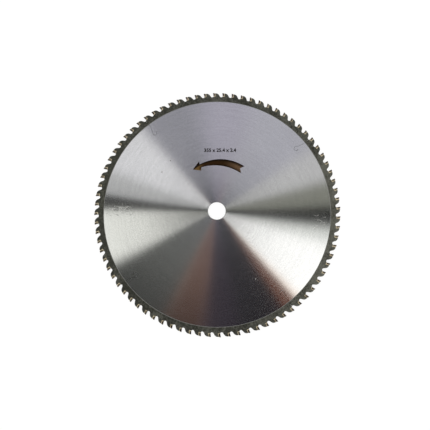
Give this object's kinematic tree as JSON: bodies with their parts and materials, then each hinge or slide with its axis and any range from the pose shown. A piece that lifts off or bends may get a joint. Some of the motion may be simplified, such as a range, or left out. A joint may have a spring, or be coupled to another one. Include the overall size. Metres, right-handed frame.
{
  "type": "circular saw blade",
  "caption": "Carbide-tipped circular saw blade: thin ground steel disc with a round arbor bore, hooked expansion slots and brazed tips in a triple-chip pattern, for dry cutting of steel.",
  "frame": {"origin": "centre of the arbor bore, at half the plate's thickness", "axes": "+Z along the bore's axis, out of the face that carries the direction arrow; +Y from the bore towards that arrow; the blade turns counter-clockwise as seen from +Z"},
  "size_m": [0.3548, 0.3548, 0.0024],
  "materials": {
    "plate_steel": "faces ground in circles, rim band blasted dull and dark",
    "carbide": "dark sintered carbide, finely ground",
    "braze": "dull pale braze"
  },
  "bodies": {
    "root": {"saw_plate": "plate_steel", "trapezoid_tips": "carbide", "flat_tips": "carbide", "braze_joints": "braze"}
  },
  "joints": []
}
